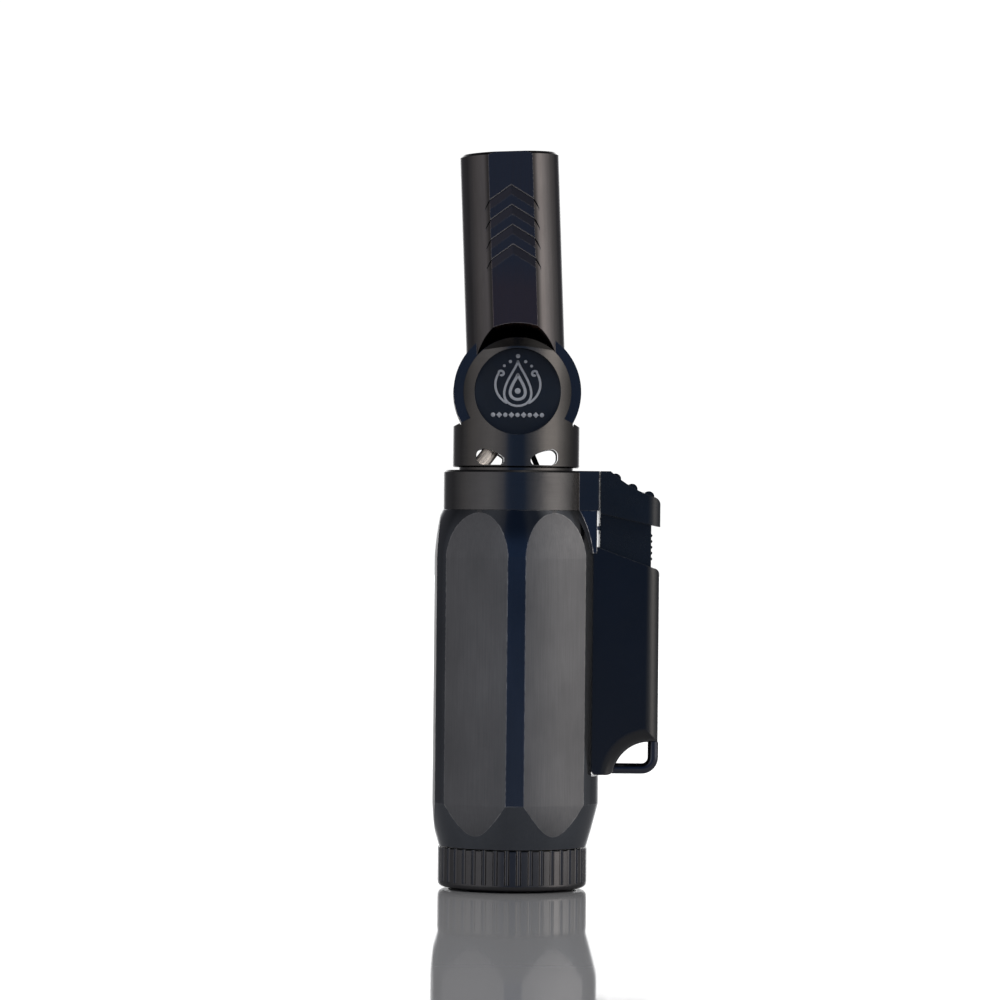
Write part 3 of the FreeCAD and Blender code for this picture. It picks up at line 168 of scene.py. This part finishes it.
def metal(name, colour, rough, grain, edge=(0.3, 0.3, 0.32), bevel=0.12, grain_depth=0.0004, spread=0.12,
          edge_wear_and_highlight=0.6, edge_span=(0.985, 0.86), paint_dark_reflection=None):
    """Plated or bare metal: broad tone drift, directional grain, hairlines, and bright edges that are partly
    wear and partly painted highlight lines.
    """
    g = Graph(name)
    shader = g.shader
    shader.inputs["Metallic"].default_value = 1.0
    drift = g.noise((0.09, 0.09, 0.05), 4.0, 0.55)
    lines = g.noise(grain, 5.0, 0.6)
    smudge = g.noise((0.35, 0.35, 0.22), 3.0, 0.6, 0.6)
    normal, edges = g.rounded(bevel, *edge_span)
    patchy = g.span(g.noise((1.1, 1.1, 0.9), 2.0), 0.35, 0.65)
    # Bright edge colour: patchy wear plus painted highlight lines along sharp edges.
    worn_and_highlit_edges = g.math("MULTIPLY", g.math("MULTIPLY", edges, patchy), edge_wear_and_highlight)
    base = g.blend(g.span(drift, 0.3, 0.7), shade(colour, 0.86), shade(colour, 1.14))
    base = g.blend(g.span(lines, 0.35, 0.65, 0.0, 0.35), base, shade(colour, 0.7))
    # Optional painted dark reflection: the colour darkens where the given mask falls to zero.
    if paint_dark_reflection is not None:
        base = g.blend(paint_dark_reflection(g), shade(colour, 0.35), base)
    g.join(g.blend(worn_and_highlit_edges, base, edge), shader.inputs["Base Color"])
    coarse = g.math("MULTIPLY_ADD", g.span(lines, 0.3, 0.7), rough * spread * 2, rough * (1 - spread))
    smeared = g.math("MULTIPLY_ADD", g.span(smudge, 0.45, 0.75), rough * spread * 2, coarse)
    g.join(g.math("MULTIPLY_ADD", worn_and_highlit_edges, -0.3 * rough, smeared, clamp=True), shader.inputs["Roughness"])
    g.join(g.bump(lines, grain_depth, 1.0, normal), shader.inputs["Normal"])
    return g.material


def dark_reflection_beside_panel(g):
    """Mask of a painted dark reflection: zero on the strips beside the barrel's flat panel, one farther
    round; the barrel leans a little.
    """
    place = g.place()
    rise = g.math("SUBTRACT", place["Z"], TILT_AXIS_HEIGHT)
    across = g.math("ABSOLUTE", g.math("MULTIPLY_ADD", rise, math.tan(HEAD_LEAN), place["X"]))
    return g.span(across, *DARK_REFLECTION_STRIP_EDGE)


def panel_metal(name, colour, painted_brown_reflection, edge):
    """Dark polished panel whose brown tint is a painted reflection, strongest toward its lower end, with
    pale painted highlight lines on the edges of its cut steps.
    """
    g = Graph(name)
    g.shader.inputs["Metallic"].default_value = 1.0
    height = g.math("MULTIPLY_ADD", g.noise((0.25, 0.25, 0.1)), 3.0, g.place()["Z"])
    lines = g.noise(UPRIGHT, 5.0, 0.6)
    normal, edges = g.rounded(0.16, 0.995, 0.9)
    # Painted brown reflection, strongest toward the panel's lower end.
    base = g.blend(g.span(height, *PANEL_PAINTED_REFLECTION_FADE), painted_brown_reflection, colour)
    base = g.blend(g.span(lines, 0.35, 0.65, 0.0, 0.35), base, shade(colour, 0.6))
    # Pale painted highlight lines along the edges of the cut steps.
    g.join(g.blend(g.math("MULTIPLY", edges, 0.9), base, edge), g.shader.inputs["Base Color"])
    g.join(g.span(lines, 0.3, 0.7, 0.14, 0.24), g.shader.inputs["Roughness"])
    g.join(g.bump(lines, 0.0004, 1.0, normal), g.shader.inputs["Normal"])
    return g.material


def plastic(name, colour, rough, grain=6.0, depth=0.004, edge=None, bevel=0.15, specular=0.5, coat=0.0):
    """Moulded plastic: fine spark texture, slow sheen drift and slightly paler rubbed edges."""
    g = Graph(name)
    shader = g.shader
    shader.inputs["Specular IOR Level"].default_value = specular
    shader.inputs["Coat Weight"].default_value = coat
    shader.inputs["Coat Roughness"].default_value = 0.1
    edge = edge or shade(colour, 3.0)
    drift = g.noise((0.12, 0.12, 0.08), 3.0)
    spark = g.cells((grain, grain, grain))
    mist = g.noise((0.5, 0.5, 0.4), 3.0, 0.6)
    normal, edges = g.rounded(bevel)
    rubbed = g.math("MULTIPLY", edges, g.span(g.noise((1.4, 1.4, 1.4), 2.0), 0.3, 0.7, 0.05, 0.5))
    base = g.blend(g.span(drift, 0.3, 0.7), shade(colour, 0.8), shade(colour, 1.25))
    g.join(g.blend(rubbed, base, edge), shader.inputs["Base Color"])
    level = g.math("MULTIPLY_ADD", g.span(mist, 0.3, 0.7), rough * 0.3, rough * 0.85)
    g.join(g.math("MULTIPLY_ADD", rubbed, -0.25 * rough, level, clamp=True), shader.inputs["Roughness"])
    g.join(g.bump(spark, depth, 0.6, normal), shader.inputs["Normal"])
    return g.material


def ceramic(name, colour):
    """Glazed alumina with faint specks."""
    g = Graph(name)
    specks = g.span(g.cells((2.5, 2.5, 2.5)), 0.05, 0.12, 1.0, 0.0)
    base = g.blend(g.span(g.noise((0.3, 0.3, 0.2)), 0.3, 0.7), shade(colour, 0.93), colour)
    g.join(g.blend(g.math("MULTIPLY", specks, 0.3), base, (0.45, 0.42, 0.38)), g.shader.inputs["Base Color"])
    g.join(g.span(g.noise((1.0, 1.0, 1.0)), 0.3, 0.7, 0.2, 0.38), g.shader.inputs["Roughness"])
    g.join(g.bump(g.noise((3, 3, 3)), 0.003), g.shader.inputs["Normal"])
    return g.material


def hose_skin(name, dark, light):
    """Gas hose: lengthwise pale and dark stripes in a clear glossy skin, partly braid threads and partly
    painted highlight lines, uneven in tone.
    """
    g = Graph(name)
    place = g.place()
    sideways = g.math("MULTIPLY", place["X"], HOSE_ACROSS_X)
    across = g.math("MULTIPLY_ADD", place["Z"], HOSE_ACROSS_Z, sideways)
    waver = g.math("MULTIPLY", g.noise((0.5, 0.5, 0.5)), 0.5)
    # Fine threads and broad painted highlight bands run along the hose.
    threads = g.math("SINE", g.math("MULTIPLY", g.math("ADD", across, waver), 9.5))
    painted_highlight_bands = g.math("SINE", g.math("MULTIPLY", g.math("ADD", across, waver), 3.3))
    tone = g.span(g.math("MULTIPLY_ADD", painted_highlight_bands, 0.7, threads), -1.4, 1.4)
    g.join(g.blend(tone, dark, light), g.shader.inputs["Base Color"])
    g.join(g.span(tone, 0.0, 1.0, 0.45, 0.2), g.shader.inputs["Roughness"])
    g.shader.inputs["Transmission Weight"].default_value = 0.6
    g.shader.inputs["IOR"].default_value = 1.15
    g.shader.inputs["Coat Weight"].default_value = 0.8
    g.shader.inputs["Coat Roughness"].default_value = 0.1
    g.join(g.bump(tone, 0.05), g.shader.inputs["Normal"])
    return g.material


HOSE_ACROSS_X, HOSE_ACROSS_Z = 0.788, -0.616
# Heights in mm over which the painted brown reflection on the barrel's panel fades out.
PANEL_PAINTED_REFLECTION_FADE = (112.0, 117.0)
# Edges of the painted dark reflection strips beside the barrel's panel, in mm from its middle.
DARK_REFLECTION_STRIP_EDGE = (4.35, 5.0)
UPRIGHT = (7.0, 7.0, 0.12)
ROUND = (0.25, 0.25, 9.0)
EVEN = (3.0, 3.0, 3.0)

MATERIALS = {
    # The barrel's strips beside its panel get a painted dark reflection.
    "barrel_metal": metal("barrel_gunmetal", (0.108, 0.101, 0.103), 0.15, UPRIGHT, bevel=0.1,
                          paint_dark_reflection=dark_reflection_beside_panel),
    "yoke_metal": metal("yoke_gunmetal", (0.105, 0.100, 0.098), 0.14, ROUND, bevel=0.14),
    # Pale painted highlight lines along the casing's facet edges, mixed with wear.
    "casing_metal": metal("casing_gunmetal", (0.098, 0.106, 0.122), 0.12, UPRIGHT, (0.42, 0.42, 0.43), 0.22,
                          spread=0.08, edge_wear_and_highlight=0.9, edge_span=(0.9985, 0.990)),
    "collar_metal": metal("collar_gunmetal", (0.100, 0.098, 0.100), 0.15, ROUND, bevel=0.15),
    "ring_metal": metal("ring_gunmetal", (0.100, 0.098, 0.102), 0.16, ROUND, bevel=0.1, spread=0.2),
    "loop_metal": metal("loop_gunmetal", (0.075, 0.080, 0.100), 0.2, EVEN, bevel=0.05),
    "badge_enamel": plastic("badge_enamel", (0.008, 0.013, 0.023), 0.42, 14.0, 0.003, (0.05, 0.06, 0.08),
                            0.06),
    "trigger_plastic": plastic("trigger_plastic", (0.006, 0.010, 0.017), 0.25, 9.0, 0.0008, bevel=0.2),
    "housing_plastic": plastic("housing_plastic", (0.002, 0.003, 0.007), 0.16, 7.0, 0.0008,
                               (0.06, 0.065, 0.075), 0.3, 0.55, 0.2),
    "base_plastic": plastic("base_plastic", (0.012, 0.012, 0.014), 0.5, 5.0),
    "screw_steel": metal("turned_steel", (0.42, 0.43, 0.45), 0.28, (0.4, 0.4, 8.0)),
    "washer_polymer": plastic("washer_acetal", (0.62, 0.61, 0.56), 0.45),
    "seal_rubber": plastic("seal_rubber", (0.012, 0.012, 0.012), 0.65),
    "tank_polymer": plastic("tank_nylon", (0.55, 0.55, 0.50), 0.35),
    "filter_felt": plastic("filter_felt", (0.62, 0.60, 0.52), 0.9, 4.0, 0.05),
    "filter_mesh": metal("sintered_bronze", (0.42, 0.30, 0.16), 0.5, EVEN, grain_depth=0.02),
    "valve_brass": metal("turned_brass", (0.60, 0.43, 0.17), 0.24, (0.4, 0.4, 8.0), (0.9, 0.75, 0.42)),
    "block_metal": metal("die_cast", (0.45, 0.45, 0.47), 0.42, EVEN, grain_depth=0.006),
    "gear_polymer": plastic("gear_acetal", (0.09, 0.09, 0.10), 0.4),
    "spring_steel": metal("spring_wire", (0.40, 0.40, 0.42), 0.25, EVEN),
    "lever_steel": metal("lever_sheet", (0.46, 0.46, 0.48), 0.3, (0.2, 6.0, 6.0)),
    "hose_braid": hose_skin("hose_skin", (0.45, 0.40, 0.37), (1.0, 0.90, 0.80)),
    "lead_insulation": plastic("lead_silicone", (0.010, 0.010, 0.013), 0.38),
    "piezo_plastic": plastic("piezo_plastic", (0.03, 0.03, 0.03), 0.45),
    "plunger_plastic": plastic("plunger_acetal", (0.66, 0.64, 0.58), 0.4),
    "terminal_steel": metal("terminal_plate", (0.52, 0.52, 0.53), 0.25, EVEN),
    "burner_steel": metal("heated_stainless", (0.33, 0.29, 0.25), 0.33, ROUND, (0.6, 0.5, 0.4)),
    "electrode_steel": metal("electrode_wire", (0.40, 0.39, 0.38), 0.3, EVEN),
    "insulator_ceramic": ceramic("alumina", (0.80, 0.78, 0.72)),
}

for entry in frame["record"]["subparts"]:
    piece = nodes[entry["node"]]
    piece.data.materials.clear()
    piece.data.materials.append(MATERIALS[entry["material_slot"]])


# ---- second finishes on the casing's facets and the barrel's front panel ---------------------------

def second_finish(piece, material, chosen):
    """Give the chosen faces of a piece another finish."""
    piece.data.materials.append(material)
    matrix = piece.matrix_world
    turn = matrix.to_3x3()
    for face in piece.data.polygons:
        if chosen(matrix @ face.center / MM, turn @ face.normal):
            face.material_index = 1


FACET_PITCH = 60
FACET_AXIS_BEHIND = 33
FACET_TIP_HEIGHT = 10.2
BORE_LIMIT = 12.8
PANEL_DEPTH = (-8.25, -7.7)
PANEL_HEIGHT = (103, 134)


def on_facet(spot, normal):
    """True on the casing's five long facets, which bend about upright axes behind the casing."""
    bearing = math.atan2(spot.y, spot.x)
    middle = math.radians(FACET_PITCH * round(math.degrees(bearing) / FACET_PITCH))
    on_spine = abs(middle) < 0.1
    inside = math.hypot(spot.x, spot.y) < BORE_LIMIT
    if on_spine or inside or spot.z < FACET_TIP_HEIGHT or abs(normal.z) > 0.5:
        return False
    behind = Vector((spot.x + FACET_AXIS_BEHIND * math.cos(middle),
                     spot.y + FACET_AXIS_BEHIND * math.sin(middle)))
    level = Vector((normal.x, normal.y)).normalized()
    off_facet = abs(level.cross(behind.normalized()))
    off_shell = abs(level.cross(Vector((spot.x, spot.y)).normalized()))
    return off_facet < off_shell or abs(math.remainder(bearing - middle, 2 * math.pi)) < 0.035


def on_panel(spot, normal):
    """True on the barrel's flat front panel and the steps cut in it."""
    deep = PANEL_DEPTH[0] < spot.y < PANEL_DEPTH[1]
    high = PANEL_HEIGHT[0] < spot.z < PANEL_HEIGHT[1]
    return deep and high and abs(normal.x) < 0.42 and abs(normal.z) < 0.8


# Pale painted highlight lines along the facet edges here too, mixed with wear.
satin = metal("casing_satin", (0.128, 0.130, 0.139), 0.34, UPRIGHT, (0.42, 0.42, 0.43), 0.22, spread=0.06,
              edge_wear_and_highlight=0.9, edge_span=(0.9985, 0.990))
# The panel's brown tint and its pale step-edge lines are painted reflection and highlight.
panel = panel_metal("barrel_panel", (0.150, 0.122, 0.116), (0.205, 0.122, 0.104), (0.55, 0.53, 0.52))
second_finish(nodes["casing"], satin, on_facet)
second_finish(nodes["burner_barrel"], panel, on_panel)


# ---- plain raised motif on the two badges ----------------------------------------------------------

def drop_outline(width, height, count=48):
    """Closed flame-like drop, pointed at the top."""
    turns = [2 * math.pi * index / count for index in range(count)]
    return [(width * math.sin(turn) * math.sin(turn / 2) ** 1.6, height * math.cos(turn)) for turn in turns]


def scroll(side, count=26):
    """Open side flourish that ends in a small curl."""
    arc = [math.radians(-62 + 92 * index / (count - 1)) for index in range(count)]
    stem = [(3.55 * math.cos(turn), 3.9 * math.sin(turn)) for turn in arc]
    last = stem[-1]
    curl = []
    for index in range(1, 16):
        turn = math.radians(30 + 19 * index)
        size = 0.62 * (1 - index / 24)
        curl.append((last[0] - 0.45 + size * math.cos(turn) * 0.9, last[1] + size * math.sin(turn)))
    return [(side * across, up) for across, up in stem + curl]


def add_wire(build, line, closed, half, lift):
    """Low rounded ridge along a line drawn on the badge's face."""
    spots = [Vector(spot) for spot in line]
    count = len(spots)
    rows = []
    for index, spot in enumerate(spots):
        before = spots[index - 1] if closed or index else spot
        after = spots[(index + 1) % count] if closed or index + 1 < count else spot
        along = (after - before).normalized()
        aside = Vector((-along.y, along.x))
        profile = ((-half, 0), (-0.6 * half, lift), (0.6 * half, lift), (half, 0))
        rows.append([build.verts.new((*(spot + aside * shift), rise)) for shift, rise in profile])
    for index in range(count if closed else count - 1):
        row, following = rows[index], rows[(index + 1) % count]
        for step in range(3):
            build.faces.new((row[step], following[step], following[step + 1], row[step + 1]))
    if not closed:
        for row in (rows[0], rows[-1]):
            build.faces.new(row)


def add_stud(build, across, up, radius, lift, corners=12):
    """Small domed stud; four corners make a lozenge."""
    rings = []
    for share, rise in ((1.0, 0.0), (0.82, 0.7 * lift), (0.4, lift)):
        rings.append([build.verts.new((across + share * radius * math.cos(2 * math.pi * index / corners),
                                       up + share * radius * math.sin(2 * math.pi * index / corners), rise))
                      for index in range(corners)])
    for low, high in zip(rings, rings[1:]):
        for index in range(corners):
            following = (index + 1) % corners
            build.faces.new((low[index], low[following], high[following], high[index]))
    build.faces.new(rings[-1])


def add_object(name, build):
    """Scene object from a mesh that is ready in bmesh."""
    mesh = bpy.data.meshes.new(name)
    build.to_mesh(mesh)
    build.free()
    made = bpy.data.objects.new(name, mesh)
    bpy.context.scene.collection.objects.link(made)
    return made


def badge_motif(name, side):
    """Drop, scrolls, studs and a row of lozenges in raised silver; side -1 is the front badge."""
    build = bmesh.new()
    outer = [(across, up + 1.45) for across, up in drop_outline(3.6, 4.1)]
    inner = [(across, up + 0.85) for across, up in drop_outline(2.0, 2.3)]
    add_wire(build, outer, True, 0.22, 0.11)
    add_wire(build, inner, True, 0.28, 0.12)
    add_stud(build, 0, 0.1, 0.55, 0.14, 20)
    for hand in (-1, 1):
        add_wire(build, [(1.16 * across, up + 1.3) for across, up in scroll(hand)], False, 0.22, 0.11)
        add_stud(build, hand * 1.4, 5.5, 0.32, 0.10)
        add_stud(build, hand * 2.5, 4.7, 0.28, 0.09)
    add_stud(build, 0, 6.5, 0.42, 0.12)
    for index in range(-4, 5):
        add_stud(build, 1.12 * index, -4.3, 0.56 if index % 2 else 0.42, 0.10, 4 if index % 2 else 12)
    bmesh.ops.recalc_face_normals(build, faces=build.faces)
    motif = add_object(name, build)
    motif.matrix_world = Matrix((
        (-side * MM, 0, 0, 0),
        (0, 0, side * MM, side * BADGE_FACE * MM),
        (0, MM, 0, TILT_AXIS_HEIGHT * MM),
        (0, 0, 0, 1),
    ))
    motif.data.materials.append(SILVER)
    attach(motif, "torch_body")


MOTIF_SUNK = 0.005
BADGE_FACE = -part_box("front_badge")[0].y / MM - MOTIF_SUNK
SILVER = plastic("motif_silver", (0.55, 0.57, 0.61), 0.4, 12.0, 0.002, (0.7, 0.72, 0.75), 0.03)
badge_motif("front_motif", -1)
badge_motif("rear_motif", 1)


# ---- own meshes for the springs that shorten as their valve or trigger is pressed ------------------

for joint in joints:
    for entry in joint.get("deforming_nodes", ()):
        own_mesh(nodes[entry["node"]])


# ---- floor, light and camera -----------------------------------------------------------------------

FLOOR_HALF_SIZE = 4.0
FLOOR_GAP = 0.00005


def studio_floor():
    """Pale glossy floor that the torch stands on."""
    build = bmesh.new()
    bmesh.ops.create_grid(build, x_segments=2, y_segments=2, size=FLOOR_HALF_SIZE)
    floor = add_object("studio_floor", build)
    g = Graph("floor_white")
    g.shader.inputs["IOR"].default_value = 1.45
    g.join(g.blend(g.noise((0.01, 0.01, 0.01)), (0.42, 0.42, 0.43), (0.46, 0.46, 0.46)),
           g.shader.inputs["Base Color"])
    g.shader.inputs["Roughness"].default_value = 0.05
    floor.data.materials.append(g.material)
    floor.location.z = -FLOOR_GAP


# Bearing in degrees, 0 in front of the badge and positive to the right, and the light from there.
ROOM = [
    (-180, (1.7, 1.7, 1.7)), (-168, (1.7, 1.7, 1.7)), (-158, (0.40, 0.40, 0.41)),
    (-148, (0.12, 0.12, 0.13)), (-120, (0.14, 0.14, 0.15)), (-105, (0.27, 0.27, 0.28)),
    (-95, (0.40, 0.39, 0.39)), (-84, (0.52, 0.51, 0.51)), (-70, (0.60, 0.59, 0.60)),
    (-56, (0.70, 0.69, 0.70)), (-46, (0.73, 0.73, 0.74)), (-33, (0.64, 0.64, 0.66)),
    (-23, (0.46, 0.47, 0.52)), (-14, (0.13, 0.19, 0.32)), (-8, (0.085, 0.14, 0.26)),
    (12, (0.085, 0.14, 0.26)), (18, (0.22, 0.26, 0.34)), (25, (0.50, 0.51, 0.54)),
    (34, (1.15, 1.12, 1.08)), (44, (1.85, 1.76, 1.66)), (54, (2.05, 1.94, 1.82)),
    (64, (1.60, 1.54, 1.47)), (76, (1.00, 0.97, 0.94)), (89, (0.52, 0.51, 0.50)),
    (100, (0.32, 0.32, 0.32)), (118, (0.13, 0.13, 0.14)), (147, (0.10, 0.10, 0.11)),
    (157, (0.40, 0.40, 0.41)), (168, (1.7, 1.7, 1.7)), (180, (1.7, 1.7, 1.7)),
]
LEVEL_BAND = 0.0105
BAND_FADE = (0.008, 0.024)
BAND_PUSH = 21 / 360


def bent_bearing(g, bearing, height):
    """Share of a full turn, with the right-hand soft box set farther round away from the level band."""
    from_level = g.math("ABSOLUTE", g.math("SUBTRACT", height, LEVEL_BAND))
    farther = g.span(from_level, *BAND_FADE, 0.0, BAND_PUSH, "SMOOTHSTEP")
    on_right = g.span(bearing, math.radians(16), math.radians(42), curve="SMOOTHSTEP")
    not_behind = g.span(bearing, math.radians(118), math.radians(150), 1.0, 0.0, "SMOOTHSTEP")
    push = g.math("MULTIPLY", farther, g.math("MULTIPLY", on_right, not_behind))
    return g.math("SUBTRACT", g.span(bearing, -math.pi, math.pi), push)


def fill_ramp(ramp):
    """Put the room's light on a colour ramp that covers one full turn."""
    ramp.interpolation = "EASE"
    while len(ramp.elements) > 1:
        ramp.elements.remove(ramp.elements[-1])
    for index, (degrees, colour) in enumerate(ROOM):
        spot = (degrees + 180) / 360
        stop = ramp.elements[0] if index == 0 else ramp.elements.new(spot)
        stop.position = spot
        stop.color = (*colour, 1.0)


def studio_world():
    """White room for the eye; for reflections, soft boxes left and right, a dark front and a dim ceiling."""
    world = bpy.data.worlds.new("studio")
    bpy.context.scene.world = world
    world.use_nodes = True
    g = Nodes(world.node_tree)
    parts = g.add("ShaderNodeSeparateXYZ")
    g.join(g.add("ShaderNodeTexCoord").outputs["Generated"], parts.inputs[0])
    height = parts.outputs["Z"]
    bearing = g.math("ARCTAN2", parts.outputs["X"], g.math("MULTIPLY", parts.outputs["Y"], -1.0))
    ramp = g.add("ShaderNodeValToRGB")
    fill_ramp(ramp.color_ramp)
    g.join(bent_bearing(g, bearing, height), ramp.inputs["Fac"])
    room = g.add("ShaderNodeBackground")
    g.join(ramp.outputs["Color"], room.inputs["Color"])
    g.join(g.span(height, 0.22, 0.6, 1.0, 0.4, "SMOOTHSTEP"), room.inputs["Strength"])
    seen = g.add("ShaderNodeBackground")
    seen.inputs["Color"].default_value = (1.0, 1.0, 1.0, 1.0)
    seen.inputs["Strength"].default_value = 1.05
    mix = g.add("ShaderNodeMixShader")
    g.join(g.add("ShaderNodeLightPath").outputs["Is Camera Ray"], mix.inputs["Fac"])
    g.join(room.outputs[0], mix.inputs[1])
    g.join(seen.outputs[0], mix.inputs[2])
    g.join(mix.outputs[0], g.add("ShaderNodeOutputWorld").inputs["Surface"])


def soft_light(name, place, aim, size, power):
    """Large rectangular soft light that doesn't show in reflections."""
    data = bpy.data.lights.new(name, "AREA")
    data.shape = "RECTANGLE"
    data.size, data.size_y = size
    data.energy = power
    light = bpy.data.objects.new(name, data)
    light.visible_glossy = False
    light.location = place
    light.rotation_euler = (Vector(aim) - Vector(place)).to_track_quat("-Z", "Y").to_euler()
    bpy.context.scene.collection.objects.link(light)


CAMERA_LENS = 161.5
CAMERA_PLACE = (-0.0029, -0.830, 0.0696)
CAMERA_TURNS = (-1.0, 0.566, 0.14)


def studio_camera():
    """Level long-lens view of the badge side."""
    data = bpy.data.cameras.new("camera")
    data.sensor_width = 36.0
    data.lens = CAMERA_LENS
    data.clip_start = 0.01
    camera = bpy.data.objects.new("camera", data)
    bpy.context.scene.collection.objects.link(camera)
    yaw, roll, lift = (math.radians(degrees) for degrees in CAMERA_TURNS)
    turn = Matrix.Rotation(yaw, 4, "Z")
    place = turn @ Vector(CAMERA_PLACE)
    camera.matrix_world = (Matrix.Translation(place) @ turn @ Matrix.Rotation(math.pi / 2 + lift, 4, "X")
                           @ Matrix.Rotation(roll, 4, "Z"))
    bpy.context.scene.camera = camera


studio_floor()
studio_world()
soft_light("top_light", (0.0, -0.1, 0.9), (0, 0, 0), (0.9, 0.9), 5.0)
studio_camera()
bpy.context.scene.view_settings.view_transform = "Standard"
